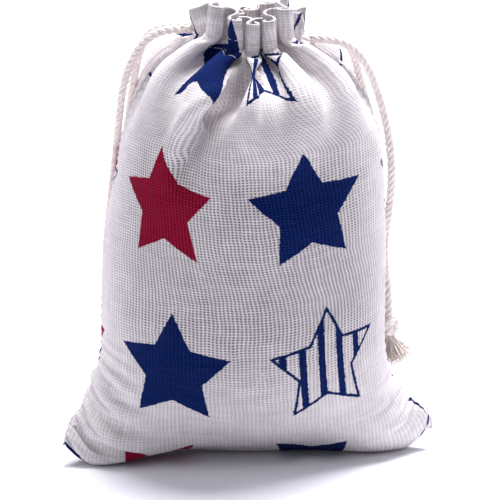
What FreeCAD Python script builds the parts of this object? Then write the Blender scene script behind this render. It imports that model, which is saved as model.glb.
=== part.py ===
import FreeCAD
import Part
import math
import os

# A small drawstring gift sack, filled out and standing on its base, in millimetres.
# +Z is up, +Y points to the back, and the origin is the middle of the base on the surface it stands on.

CLOTH = 0.8                 # wall of a sewn panel, nap and print included
SEAM_END_WALL = 3.0         # wall at the pointed lower corners, where both plies and the seam meet
BASE_TWIST = 12.0           # degrees that the base is turned against the body, left corner forward
TWIST_HEIGHT = 34.0         # the twist has faded out at this height

# The filled body from the base to the neck: height, half width, half depth, and fullness, which is
# 1 for a lens that is pointed at the side seams and 2 for a full ellipse.
NECK_RADIUS = 14.25
NECK_BOTTOM = 111.4
BODY_SECTIONS = [
    (0.0, 45.5, 14.5, 1.08),
    (1.2, 47.9, 16.4, 1.08),
    (3.6, 49.7, 19.0, 1.08),
    (7.8, 48.6, 21.8, 1.10),
    (13.0, 44.4, 24.0, 1.25),
    (19.0, 40.2, 25.8, 1.50),
    (27.0, 37.5, 26.9, 1.85),
    (40.0, 37.4, 28.3, 2.00),
    (58.0, 37.4, 29.6, 2.00),
    (76.0, 35.8, 29.9, 2.00),
    (90.0, 33.2, 29.0, 2.00),
    (98.5, 30.4, 26.8, 2.00),
    (104.5, 27.0, 23.8, 2.00),
    (108.6, 22.4, 20.2, 2.00),
    (NECK_BOTTOM, NECK_RADIUS, NECK_RADIUS, 2.00),
]
SECTION_POINTS = 17
SEWING_TOLERANCE = 0.001    # how far apart two edges may lie and still be joined in one shell

# The allowances of the three seams, turned to the inside.
SIDE_SEAM_WIDTH = 5.0
SIDE_SEAM_THICKNESS = 1.0
SIDE_SEAM_CLEARANCE = 1.3   # from the cloth at the seam
SIDE_SEAM_SECTIONS = BODY_SECTIONS[2:-2]
BOTTOM_SEAM_LENGTH = 66.0
BOTTOM_SEAM_HEIGHT = 5.0
BOTTOM_SEAM_THICKNESS = 1.2
BOTTOM_SEAM_CLEARANCE = 0.3

# The gathered casing holds both drawstring loops, and the header stands free above it. Front and
# back are apart at the sides, which leaves the two openings that the cords come out of.
CASING_HEIGHT = 7.0
CASING_INNER_RADIUS = 10.0
OPENING_HALF_ANGLE = 25.0
TOTAL_HEIGHT = 124.0
HEADER_RADIUS = 16.6
HEADER_THICKNESS = 1.5      # two plies, folded at the mouth
STITCH_THREAD = 0.3
MOVING_GAP = 0.4            # clearance between the header and the casing under it

# Each drawstring is a loop round the neck with two free strands, a knot and a frayed tassel.
CORD_DIAMETER = 2.3
LOOP_RADIUS = 12.1
LEFT_CORD_HEIGHT = 116.1
RIGHT_CORD_HEIGHT = 113.5
LOOP_END_ANGLE = 28.0       # where a loop stops, from the middle of its opening
STRAND_SPACING = 3.0        # between the two strands in their opening
LEAD_START = 6.0            # the straight lead of a strand runs from here
LEAD_END = 17.0             # to here, where the free strand begins
KNOT_RADIUS = 2.5
KNOT_HEIGHT = 5.2
TASSEL_LENGTH = 8.0
TASSEL_TOP_RADIUS = 1.2
TASSEL_END_RADIUS = 3.3
LEFT_TASSEL_TILT = -5.0     # degrees outward from straight down
RIGHT_TASSEL_TILT = 18.0
TASSEL_GAP = 1.0            # between the knot and the stiff part of the tassel

LEFT_KNOT_TOP = (-36.0, 15.8, 41.0)
RIGHT_KNOT_TOP = (37.9, 10.6, 34.4)

# The routes of the free strands, from the lead to the knot.
LEFT_FRONT_ROUTE = [
    (-17.0, -1.5, 116.1),
    (-21.6, -1.5, 116.1),
    (-26.6, -0.8, 113.4),
    (-30.2, 0.9, 108.0),
    (-32.6, 3.0, 101.4),
    (-33.9, 5.6, 93.0),
    (-34.6, 9.2, 83.6),
    (-35.6, 11.2, 73.6),
    (-36.8, 12.8, 63.6),
    (-37.4, 14.4, 54.4),
    (-37.25, 15.8, 47.0),
    (-37.25, 15.8, 41.0),
]
LEFT_REAR_ROUTE = [
    (-17.0, 1.5, 116.1),
    (-22.0, 1.5, 116.1),
    (-26.4, 3.6, 113.9),
    (-28.6, 7.4, 108.2),
    (-29.9, 10.8, 100.6),
    (-31.2, 13.4, 92.0),
    (-32.4, 15.0, 82.4),
    (-33.4, 16.0, 72.0),
    (-34.0, 16.6, 62.0),
    (-34.5, 16.6, 54.0),
    (-34.75, 15.8, 47.0),
    (-34.75, 15.8, 41.0),
]
RIGHT_FRONT_ROUTE = [
    (17.0, -1.5, 113.5),
    (22.4, -1.5, 113.5),
    (27.8, -0.6, 111.3),
    (31.8, 1.0, 106.0),
    (34.4, 2.8, 98.8),
    (36.8, 4.4, 90.4),
    (38.3, 5.8, 81.6),
    (38.6, 7.4, 71.8),
    (37.8, 9.6, 62.0),
    (36.4, 11.8, 52.2),
    (37.9, 9.35, 41.0),
    (37.9, 9.35, 34.4),
]
RIGHT_REAR_ROUTE = [
    (17.0, 1.5, 113.5),
    (22.4, 1.5, 113.5),
    (26.8, 4.4, 111.1),
    (28.8, 9.8, 104.9),
    (30.6, 12.8, 97.4),
    (32.8, 15.0, 89.4),
    (33.9, 16.2, 80.6),
    (34.4, 16.8, 71.2),
    (34.3, 17.0, 61.6),
    (34.8, 15.8, 51.6),
    (37.9, 11.85, 41.0),
    (37.9, 11.85, 34.4),
]
BEND_SHARE = 0.45           # the part of the shorter run that each bend of a cord may use


def vec(x, y, z):
    return FreeCAD.Vector(x, y, z)


def twist(height):
    """The turn of a horizontal section about Z, in radians."""
    fade = max(0.0, 1.0 - height / TWIST_HEIGHT)
    return math.radians(BASE_TWIST) * fade * fade


def turned(x, y, height, angle):
    return vec(x * math.cos(angle) - y * math.sin(angle), x * math.sin(angle) + y * math.cos(angle), height)


def section_edge(section, side):
    """Half of a horizontal section, seam to seam. side is -1 for the front and 1 for the back."""
    height, half_width, half_depth, fullness = section
    points = []
    for i in range(SECTION_POINTS):
        angle = math.pi * i / (SECTION_POINTS - 1)
        depth = half_depth * math.sin(angle) ** (2.0 / fullness)
        points.append(turned(-half_width * math.cos(angle), side * depth, height, twist(height)))
    points[-1] = turned(half_width, 0.0, height, twist(height))
    curve = Part.BSplineCurve()
    curve.interpolate(points)
    return curve.toShape()


def inner_section(section):
    """A section of the cavity, one ply inside the body's own section and open at the neck."""
    height, half_width, half_depth, fullness = section
    end_wall = CLOTH + (SEAM_END_WALL - CLOTH) * (2.0 - fullness)
    if height < NECK_BOTTOM:
        height = CLOTH + height * (NECK_BOTTOM - 2 * CLOTH) / NECK_BOTTOM
    return (height, half_width - end_wall, half_depth - CLOTH, fullness)


def skin(sections, side):
    """One curved face through half sections, with its left, right, bottom and top edges."""
    face = Part.makeLoft([Part.Wire([section_edge(s, side)]) for s in sections], False, False).Faces[0]
    level = [e for e in face.Edges if e.BoundBox.ZLength < CLOTH]
    upright = [e for e in face.Edges if e.BoundBox.ZLength >= CLOTH]
    upright.sort(key=lambda e: e.CenterOfMass.x)
    level.sort(key=lambda e: e.CenterOfMass.z)
    return face, upright + level


def chord(edge):
    return Part.LineSegment(edge.Vertexes[0].Point, edge.Vertexes[-1].Point).toShape()


def panel(side):
    """A sewn panel as a closed shell: its two skins, the seam edges, the floor and the neck's rim."""
    outer, outer_edges = skin(BODY_SECTIONS, side)
    inner, inner_edges = skin([inner_section(s) for s in BODY_SECTIONS], side)
    faces = [outer, inner]
    for a, b in zip(outer_edges[:2], inner_edges[:2]):
        faces.append(Part.makeRuledSurface(a, b))
    for a in (outer_edges[2], inner_edges[2]):
        faces.append(Part.Face(Part.Wire([a, chord(a)])))
    faces.append(Part.makeRuledSurface(chord(outer_edges[2]), chord(inner_edges[2])))
    faces.append(Part.makeRuledSurface(outer_edges[3], inner_edges[3]))
    shell = Part.makeShell(faces)
    shell.sewShape()
    solid = Part.Solid(shell)
    solid.fix(SEWING_TOLERANCE, SEWING_TOLERANCE, SEWING_TOLERANCE)
    if solid.Volume < 0:
        solid.reverse()
    return solid


def neck_sector(profile, side):
    """A closed (radius, height) profile turned about Z, from one cord opening to the other."""
    points = [vec(radius, 0, height) for radius, height in profile]
    face = Part.Face(Part.makePolygon(points + points[:1]))
    start = 180.0 + OPENING_HALF_ANGLE if side < 0 else OPENING_HALF_ANGLE
    face.rotate(vec(0, 0, 0), vec(0, 0, 1), start)
    return face.revolve(vec(0, 0, 0), vec(0, 0, 1), 180.0 - 2 * OPENING_HALF_ANGLE)


def ring_profile(inner, outer, bottom, top):
    return [(inner, bottom), (outer, bottom), (outer, top), (inner, top)]


def casing(side):
    """The turned-in hem: an outer and an inner ply, sewn together above and below the cords."""
    top = NECK_BOTTOM + CASING_HEIGHT
    block = neck_sector(ring_profile(CASING_INNER_RADIUS, NECK_RADIUS, NECK_BOTTOM, top), side)
    start = vec(0, 0, NECK_BOTTOM + CLOTH)
    height = CASING_HEIGHT - 2 * CLOTH
    channel = Part.makeCylinder(NECK_RADIUS - CLOTH, height, start)
    core = Part.makeCylinder(CASING_INNER_RADIUS + CLOTH, height, start)
    return block.cut(channel.cut(core))


def casing_stitching(side):
    """Two rows of sewing thread on the outside, one below and one above the cords."""
    rows = []
    for bottom in (NECK_BOTTOM + STITCH_THREAD, NECK_BOTTOM + CASING_HEIGHT - 2 * STITCH_THREAD):
        profile = ring_profile(NECK_RADIUS, NECK_RADIUS + STITCH_THREAD, bottom, bottom + STITCH_THREAD)
        rows.append(neck_sector(profile, side))
    return Part.makeCompound(rows)


def header(side):
    bottom = NECK_BOTTOM + CASING_HEIGHT + MOVING_GAP
    profile = [
        (NECK_RADIUS - HEADER_THICKNESS, bottom),
        (NECK_RADIUS, bottom),
        (HEADER_RADIUS, TOTAL_HEIGHT),
        (HEADER_RADIUS - HEADER_THICKNESS, TOTAL_HEIGHT),
    ]
    return neck_sector(profile, side)


def side_seam(side):
    """The seam allowance inside one side, from the lower corner to the cord opening."""
    front = -SIDE_SEAM_THICKNESS / 2
    back = SIDE_SEAM_THICKNESS / 2
    wires = []
    for section in SIDE_SEAM_SECTIONS:
        height, half_width, _, _ = inner_section(section)
        outer = half_width - SIDE_SEAM_CLEARANCE
        inner = outer - SIDE_SEAM_WIDTH
        corners = [(outer, front), (outer, back), (inner, back), (inner, front)]
        points = [turned(side * x, y, height, twist(section[0])) for x, y in corners]
        wires.append(Part.makePolygon(points + points[:1]))
    return Part.makeLoft(wires, True, True)


def bottom_seam():
    """The seam allowance that stands on the inside of the base."""
    corner = vec(-BOTTOM_SEAM_LENGTH / 2, -BOTTOM_SEAM_THICKNESS / 2, CLOTH + BOTTOM_SEAM_CLEARANCE)
    strip = Part.makeBox(BOTTOM_SEAM_LENGTH, BOTTOM_SEAM_THICKNESS, BOTTOM_SEAM_HEIGHT, corner)
    strip.rotate(vec(0, 0, 0), vec(0, 0, 1), BASE_TWIST)
    return strip


def drawstring_loop(height, side):
    """The stretch of a drawstring inside the casing. side is where its strands come out."""
    first = LOOP_END_ANGLE if side > 0 else 180.0 + LOOP_END_ANGLE
    quarter = (360.0 - 2 * LOOP_END_ANGLE) / 4
    points = [turned(LOOP_RADIUS, 0.0, height, math.radians(first + quarter * i)) for i in range(5)]
    path = Part.Wire([Part.Arc(*points[0:3]).toShape(), Part.Arc(*points[2:5]).toShape()])
    return swept_cord(path, points[0], turned(0.0, 1.0, 0.0, math.radians(first)))


def swept_cord(path, start, direction):
    circle = Part.makeCircle(CORD_DIAMETER / 2, start, direction)
    return path.makePipeShell([Part.Wire([circle])], True, False)


def leads(height, side):
    """Both strands' straight ends, which slide out of the opening when the cord is pulled."""
    pair = []
    for y in (-STRAND_SPACING / 2, STRAND_SPACING / 2):
        start = vec(side * LEAD_START, y, height)
        pair.append(Part.makeCylinder(CORD_DIAMETER / 2, LEAD_END - LEAD_START, start, vec(side, 0, 0)))
    return Part.makeCompound(pair)


def strand(name, route):
    """A free strand: straight runs joined by tangent arcs, each as large as its runs allow."""
    points = [vec(*p) for p in route]
    edges = []
    radii = []
    here = points[0]
    for before, corner, after in zip(points, points[1:], points[2:]):
        back = before - corner
        ahead = after - corner
        reach = BEND_SHARE * min(back.Length, ahead.Length)
        back.normalize()
        ahead.normalize()
        half_turn = (math.pi - back.getAngle(ahead)) / 2
        radius = reach / math.tan(half_turn)
        bisector = back + ahead
        bisector.normalize()
        middle = corner + bisector * (radius / math.cos(half_turn) - radius)
        first = corner + back * reach
        last = corner + ahead * reach
        edges.append(Part.LineSegment(here, first).toShape())
        edges.append(Part.Arc(first, middle, last).toShape())
        radii.append(radius)
        here = last
    edges.append(Part.LineSegment(here, points[-1]).toShape())
    path = Part.Wire(edges)
    tube = swept_cord(path, points[0], points[1] - points[0])
    volume_share = tube.Volume / (math.pi * (CORD_DIAMETER / 2) ** 2 * path.Length)
    print("%s: length %.1f, volume %.3f of section x length" % (name, path.Length, volume_share))
    print("    radii in diameters: " + " ".join("%.1f" % (r / CORD_DIAMETER) for r in radii))
    return tube


def knot(top):
    """The overhand knot of both strands, as a barrel that the strands enter from above."""
    return Part.makeCylinder(KNOT_RADIUS, KNOT_HEIGHT, vec(top[0], top[1], top[2] - KNOT_HEIGHT))


def tassel(top, side, tilt):
    """The frayed ends below the knot, which flare. tilt leans them outward."""
    start = vec(top[0], top[1], top[2] - KNOT_HEIGHT - TASSEL_GAP)
    angle = math.radians(tilt)
    direction = vec(side * math.sin(angle), 0.0, -math.cos(angle))
    return Part.makeCone(TASSEL_TOP_RADIUS, TASSEL_END_RADIUS, TASSEL_LENGTH, start, direction)


def build():
    pieces = {"bottom_seam": bottom_seam()}
    for name, side in (("front", -1), ("back", 1)):
        pieces[name + "_panel"] = panel(side)
        pieces[name + "_casing"] = casing(side)
        pieces[name + "_casing_stitching"] = casing_stitching(side)
        pieces[name + "_header"] = header(side)
    cords = [
        ("left", -1, LEFT_CORD_HEIGHT, LEFT_KNOT_TOP, LEFT_TASSEL_TILT),
        ("right", 1, RIGHT_CORD_HEIGHT, RIGHT_KNOT_TOP, RIGHT_TASSEL_TILT),
    ]
    routes = {
        "left": (LEFT_FRONT_ROUTE, LEFT_REAR_ROUTE),
        "right": (RIGHT_FRONT_ROUTE, RIGHT_REAR_ROUTE),
    }
    for name, side, height, knot_top, tilt in cords:
        front_route, rear_route = routes[name]
        pieces[name + "_side_seam"] = side_seam(side)
        pieces[name + "_drawstring_loop"] = drawstring_loop(height, side)
        pieces[name + "_cord_leads"] = leads(height, side)
        pieces[name + "_front_strand"] = strand(name + "_front_strand", front_route)
        pieces[name + "_rear_strand"] = strand(name + "_rear_strand", rear_route)
        pieces[name + "_knot"] = knot(knot_top)
        pieces[name + "_tassel"] = tassel(knot_top, side, tilt)
    return pieces


if __name__ == "__main__":
    os.makedirs("parts", exist_ok=True)
    for name, shape in build().items():
        shape.exportStep("parts/%s.step" % name)
        facts = (name, shape.isValid(), len(shape.Solids), shape.Volume)
        print("%s: valid %s, solids %d, volume %.1f" % facts)
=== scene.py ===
import math

import bpy
import numpy as np
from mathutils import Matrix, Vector


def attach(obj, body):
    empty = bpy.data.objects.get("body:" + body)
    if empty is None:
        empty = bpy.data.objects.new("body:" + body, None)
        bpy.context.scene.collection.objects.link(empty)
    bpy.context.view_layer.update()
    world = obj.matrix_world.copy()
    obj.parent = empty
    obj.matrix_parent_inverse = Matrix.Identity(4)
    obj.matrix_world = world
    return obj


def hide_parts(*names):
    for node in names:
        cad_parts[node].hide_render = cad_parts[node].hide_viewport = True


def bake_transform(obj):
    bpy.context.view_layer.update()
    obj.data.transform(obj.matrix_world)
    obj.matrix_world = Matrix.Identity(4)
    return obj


# A small star-printed gift sack. Lengths are in metres, +Z is up and -Y is the front.

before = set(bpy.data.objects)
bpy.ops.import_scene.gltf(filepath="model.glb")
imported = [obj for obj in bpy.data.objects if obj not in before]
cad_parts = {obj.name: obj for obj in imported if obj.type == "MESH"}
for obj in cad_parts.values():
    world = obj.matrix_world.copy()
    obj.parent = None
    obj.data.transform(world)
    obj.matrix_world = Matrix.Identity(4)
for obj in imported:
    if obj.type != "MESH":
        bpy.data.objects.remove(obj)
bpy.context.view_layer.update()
rng = np.random.default_rng(154)

# ---------------------------------------------------------------- the flat pattern
# One panel is FLAT_WIDTH between its side seams and FLAT_HEIGHT from its bottom seam to the folded mouth.
FLAT_WIDTH = 0.102
CASING_AT = 0.1290          # the stitch row under the cords, and the end of the side seams
HEADER_AT = 0.1360          # the stitch row over the cords
FLAT_HEIGHT = 0.1408
COLUMNS = 94
ROWS = 130
CLOTH_THICKNESS = 0.00045
HEM_THICKNESS = 0.0009      # two plies

STEP_U = FLAT_WIDTH / (COLUMNS - 1)
STEP_V = FLAT_HEIGHT / (ROWS - 1)
U = np.arange(COLUMNS) * STEP_U
V = np.arange(ROWS) * STEP_V
TO_SEAM = np.minimum(U, FLAT_WIDTH - U)
SEAM_ROWS = int(round(CASING_AT / STEP_V))
TINY = 1e-12

# ---------------------------------------------------------------- the shape the cloth is hung on
BASE_TWIST = math.radians(12.0)
TWIST_HEIGHT = 0.034
# Where each height of the flat pattern starts: pattern height, height, half width, half depth, fullness.
GUIDE = np.array([
    (0.0000, 0.0008, 0.0495, 0.0000, 1.00),
    (0.0070, 0.0006, 0.0490, 0.0070, 1.00),
    (0.0130, 0.0018, 0.0485, 0.0125, 1.00),
    (0.0200, 0.0060, 0.0470, 0.0180, 1.10),
    (0.0280, 0.0120, 0.0440, 0.0225, 1.25),
    (0.0370, 0.0200, 0.0402, 0.0250, 1.60),
    (0.0460, 0.0285, 0.0376, 0.0261, 1.95),
    (0.0600, 0.0420, 0.0374, 0.0266, 2.00),
    (0.0760, 0.0577, 0.0373, 0.0272, 2.00),
    (0.0940, 0.0760, 0.0362, 0.0280, 2.00),
    (0.1070, 0.0890, 0.0338, 0.0288, 2.00),
    (0.1150, 0.0968, 0.0310, 0.0286, 2.00),
    (0.1210, 0.1030, 0.0276, 0.0268, 2.00),
    (0.1260, 0.1082, 0.0236, 0.0232, 2.00),
    (0.1295, 0.1115, 0.0190, 0.0180, 2.00),
    (0.1328, 0.1132, 0.0134, 0.0122, 2.00),
    (0.1370, 0.1168, 0.0130, 0.0132, 2.00),
    (0.1408, 0.1208, 0.0138, 0.0146, 2.00),
])
# Where the side seams start: pattern height, height, half width. They run straight up from the corners.
SEAM_GUIDE = np.array([
    (0.0000, 0.0022, 0.0496),
    (0.0030, 0.0044, 0.0506),
    (0.0060, 0.0072, 0.0500),
    (0.0120, 0.0124, 0.0468),
    (0.0200, 0.0200, 0.0416),
    (0.0300, 0.0300, 0.0386),
    (0.0450, 0.0440, 0.0382),
    (0.0600, 0.0580, 0.0377),
    (0.0760, 0.0728, 0.0362),
    (0.0900, 0.0855, 0.0336),
    (0.1020, 0.0952, 0.0300),
    (0.1120, 0.1025, 0.0264),
    (0.1200, 0.1075, 0.0225),
    (0.1260, 0.1108, 0.0180),
    (0.1300, 0.1122, 0.0148),
    (0.1408, 0.1204, 0.0144),
])
# The filling inside: height, half width, half depth, fullness, and how far its middle sits to the right.
FILLING = np.array([
    (0.0000, 0.0350, 0.0050, 1.30, -0.0006),
    (0.0020, 0.0400, 0.0090, 1.25, -0.0006),
    (0.0050, 0.0458, 0.0170, 1.12, -0.0004),
    (0.0090, 0.0460, 0.0212, 1.14, -0.0006),
    (0.0140, 0.0438, 0.0243, 1.30, -0.0009),
    (0.0200, 0.0400, 0.0266, 1.55, -0.0011),
    (0.0280, 0.0376, 0.0280, 1.90, -0.0011),
    (0.0400, 0.0378, 0.0284, 2.00, -0.0011),
    (0.0580, 0.0376, 0.0280, 2.00, -0.0007),
    (0.0760, 0.0358, 0.0274, 2.00, 0.0006),
    (0.0880, 0.0340, 0.0270, 2.00, 0.0013),
    (0.0960, 0.0302, 0.0266, 2.00, 0.0012),
    (0.1020, 0.0258, 0.0240, 2.00, 0.0008),
    (0.1060, 0.0218, 0.0208, 2.00, 0.0004),
    (0.1090, 0.0168, 0.0160, 2.00, 0.0000),
    (0.1112, 0.0100, 0.0096, 2.00, 0.0000),
])
PINNED = (0.1315, 0.1340)   # pattern heights that the cords hold
# Under the filling, cloth that is lower than the second of these heights is pushed down to the first.
BASE_LEVEL = (0.0022, 0.0040)
CORNER_SEAM = 0.0260        # the pattern height up to which the stiff corners hold the side seams out
CORNER_HOLD = 0.09          # how much of the way back to its start a corner goes in one step
CORD_GAP = 0.0027           # half the opening between the panels, where two cords come out

# One step of the settling: what each does to a point, in metres or as a share.
SETTLE_STEPS = 240
FALL = 1.2e-6
KEPT_SPEED = 0.90
BELLY_SWELL = 4e-6
SHOULDER_SWELL = 1.0e-5
MOUTH_CURL = 0.0002
SEAM_DRAW = 0.085           # how much shorter the stitches make the side seams
BASE_DRAW = 0.018           # how much narrower the bottom seam makes the cloth near it
SHEAR_STIFFNESS = 0.15
BENDING = ((2, 0.25), (4, 0.06))  # how stiffly points some steps apart keep their distance


def eased(x):
    x = np.clip(x, 0.0, 1.0)
    return x * x * (3 - 2 * x)


def bell(x, middle, width):
    """1 at the middle, and next to nothing two widths away."""
    return np.exp(-(((x - middle) / width) ** 2))


def unit(vectors):
    return vectors / (np.linalg.norm(vectors, axis=-1, keepdims=True) + TINY)


def run_along(line):
    """How far along the line each of its points is."""
    return np.concatenate([[0], np.cumsum(np.linalg.norm(np.diff(line, axis=0), axis=1))])


def flat_run(x, y):
    """The same for a level line, from its two coordinates."""
    return np.concatenate([[0], np.cumsum(np.hypot(np.diff(x), np.diff(y)))])


def smooth_table(table, at):
    """The table's columns read at some heights, with its corners rounded off."""
    fine = np.linspace(table[0, 0], table[-1, 0], 600)
    kernel = np.hanning(41)
    kernel /= kernel.sum()
    out = []
    for column in table[:, 1:].T:
        line = np.interp(fine, table[:, 0], column)
        padded = np.concatenate([2 * line[0] - line[20:0:-1], line, 2 * line[-1] - line[-2:-22:-1]])
        out.append(np.interp(at, fine, np.convolve(padded, kernel, mode="valid")))
    return out


def twist(height):
    return BASE_TWIST * np.clip(1 - height / TWIST_HEIGHT, 0, 1) ** 2


def turn(x, y, angle):
    return x * np.cos(angle) - y * np.sin(angle), x * np.sin(angle) + y * np.cos(angle)


def half_ring(half_width, half_depth, fullness, pleats, height, gap):
    """COLUMNS points from the left to the right seam, pleated until the line is as long as when it is flat.
    gap is how far each end stands off the seam plane, where the cords come out."""
    t = np.linspace(0.0, 1.0, 1601)
    angle = math.pi * t
    base_x = -half_width * np.cos(angle)
    base_y = gap + (half_depth - gap) * np.sin(angle) ** (2 / fullness)
    along = flat_run(base_x, base_y)
    even = np.interp(np.linspace(0, along[-1], len(t)), along, t)
    base_x, base_y = np.interp(even, t, base_x), np.interp(even, t, base_y)
    tangent = unit(np.stack([np.gradient(base_x), np.gradient(base_y)], 1))
    outward = np.stack([-tangent[:, 1], tangent[:, 0]], 1)
    widths, fades, drifts = pleats
    gather = eased((height - fades) / (CASING_AT - fades))
    crests = np.concatenate([[0.0], np.cumsum(widths)])
    crests = crests / crests[-1]
    crests[1:-1] += drifts * float(eased((CASING_AT - height) / 0.04))
    phase = np.interp(t, crests, np.arange(len(crests)) * 2 * math.pi)
    share = gather[np.clip(np.searchsorted(crests, t, side="right") - 1, 0, len(widths) - 1)]
    low, high = 0.0, 0.012
    for _ in range(24):
        depth = (low + high) / 2
        sway = 0.18 * depth * np.sin(2 * phase)
        x = base_x + outward[:, 0] * depth * (np.cos(phase) - 1) / 2 + tangent[:, 0] * sway
        y = base_y + outward[:, 1] * depth * (np.cos(phase) - 1) / 2 + tangent[:, 1] * sway
        reach = np.hypot(np.diff(x), np.diff(y)).sum()
        if reach < FLAT_WIDTH:
            low = depth
        else:
            high = depth
    x = base_x + (x - base_x) * share
    y = base_y + (y - base_y) * share
    along = flat_run(x, y)
    at = np.linspace(0, along[-1], COLUMNS)
    return np.interp(at, along, x), np.interp(at, along, y)


# The pleats of each panel from left to right: their share of the neck, the pattern height where each
# has run out, and how far the crests between them move across as they come down.
PLEATS = [
    (np.array([0.24, 0.18, 0.12, 0.13, 0.155, 0.175]),
     np.array([0.116, 0.120, 0.080, 0.124, 0.124, 0.114]),
     np.array([-0.03, -0.08, -0.10, -0.02, 0.04])),
    (np.array([0.19, 0.15, 0.13, 0.17, 0.14, 0.22]),
     np.array([0.108, 0.120, 0.092, 0.118, 0.122, 0.104]),
     np.array([0.02, -0.03, 0.02, 0.04, 0.03])),
]
# How much higher or lower the gathers have slid along the cords, across the front and then the back.
RISE = np.stack([
    0.0032 * bell(U, 0.014, 0.013) - 0.0014 * bell(U, 0.056, 0.018) + 0.0018 * bell(U, 0.084, 0.012),
    0.0012 * bell(U, 0.090, 0.010) - 0.0032 * bell(U, 0.045, 0.024),
])


def starting_cloth():
    """Both panels before they settle, as (panel, row, column, xyz). Panel 0 is the front."""
    cloth = np.zeros((2, ROWS, COLUMNS, 3))
    height, half_width, half_depth, fullness = smooth_table(GUIDE, V)
    seam_height, seam_width = smooth_table(SEAM_GUIDE, V)
    for panel, side in ((0, -1.0), (1, 1.0)):
        for row in range(ROWS):
            gap = CORD_GAP * float(eased((V[row] - CASING_AT) / 0.003))
            depth = max(half_depth[row], 1e-4)
            x, y = half_ring(half_width[row], depth, fullness[row], PLEATS[panel], V[row], gap)
            reach = 0.006 + 0.016 * float(eased(V[row] / 0.03))
            pull = bell(TO_SEAM, 0.0, reach) * float(eased((0.130 - V[row]) / 0.01))
            x = x * (1 + pull * (seam_width[row] / half_width[row] - 1))
            z = height[row] + pull * (seam_height[row] - height[row])
            x, y = turn(x, side * y, twist(z))
            z = z + float(eased((V[row] - 0.105) / 0.02)) * RISE[panel]
            cloth[panel, row] = np.stack([x, y, z], 1)
    return cloth


def grid_normals(cloth):
    """Outward unit normals of both panels."""
    du = np.gradient(cloth, axis=2)
    dv = np.gradient(cloth, axis=1)
    normal = np.cross(du, dv)
    normal[1] *= -1
    return unit(normal)


def hold_length(cloth, rows, columns, rest, stiffness, inverse_mass):
    """Keeps points that are (rows, columns) apart at their flat distance. Neighbours take turns in two
    passes, and points further apart all move at once, by half as much."""
    r0, r1 = max(0, -rows), max(0, rows)
    first = slice(None), slice(r0, ROWS - r1), slice(0, COLUMNS - columns)
    second = slice(None), slice(r0 + rows, ROWS - r1 + rows), slice(columns, None)
    far = columns > 1 or rows > 1
    for phase in (0,) if far else (0, 1):
        each = slice(None) if far else slice(phase, None, 2)
        pick = (slice(None), slice(None), each) if columns else (slice(None), each)
        wa, wb = inverse_mass[first][pick], inverse_mass[second][pick]
        gap = cloth[second][pick] - cloth[first][pick]
        size = np.linalg.norm(gap, axis=-1, keepdims=True) + TINY
        move = gap * (stiffness * (size - rest) / size / (wa + wb + 1e-9))
        if far:
            change = np.zeros_like(cloth)
            change[first] += wa * (move * 0.5)
            change[second] -= wb * (move * 0.5)
            cloth += change
        else:
            cloth[first][pick] += wa * move
            cloth[second][pick] -= wb * move


def rest_on_filling(cloth, share):
    """Moves points that are inside the filling out to its surface, and lifts them off the floor."""
    z = cloth[..., 2]
    half_width, half_depth, fullness, middle = smooth_table(FILLING, np.clip(z, 0, FILLING[-1, 0]))
    angle = twist(z)
    x, y = turn(cloth[..., 0], cloth[..., 1], -angle)
    x = x - middle
    level = (np.abs(y) / half_depth) ** fullness + (x / half_width) ** 2
    under = (level < 1) & (z > BASE_LEVEL[0]) & (z < BASE_LEVEL[1])
    z[under] += share * (BASE_LEVEL[0] - z[under])
    inside = (level < 1) & (z < FILLING[-1, 0]) & (z >= BASE_LEVEL[1])
    grow = np.where(inside, 1 + share * (np.clip(level, 0.02, 1) ** (-1 / (fullness + 0.4)) - 1), 1.0)
    grow = np.minimum(grow, 1.05)
    cloth[..., 0], cloth[..., 1] = turn(x * grow + middle, y * grow, angle)
    np.maximum(z, CLOTH_THICKNESS / 2, out=cloth[..., 2])


def keep_sides_apart(cloth):
    """The front stays in front of the seam plane, and the back behind it."""
    angle = twist(cloth[..., 2])
    x, y = turn(cloth[..., 0], cloth[..., 1], -angle)
    y[0] = np.minimum(y[0], -CLOTH_THICKNESS / 2)
    y[1] = np.maximum(y[1], CLOTH_THICKNESS / 2)
    cloth[..., 0], cloth[..., 1] = turn(x, y, angle)


def sew(cloth):
    """Joins the panels along both side seams and the bottom seam."""
    for column in (0, COLUMNS - 1):
        cloth[:, :SEAM_ROWS, column] = cloth[:, :SEAM_ROWS, column].mean(axis=0)
    cloth[:, 0] = cloth[:, 0].mean(axis=0)


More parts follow.
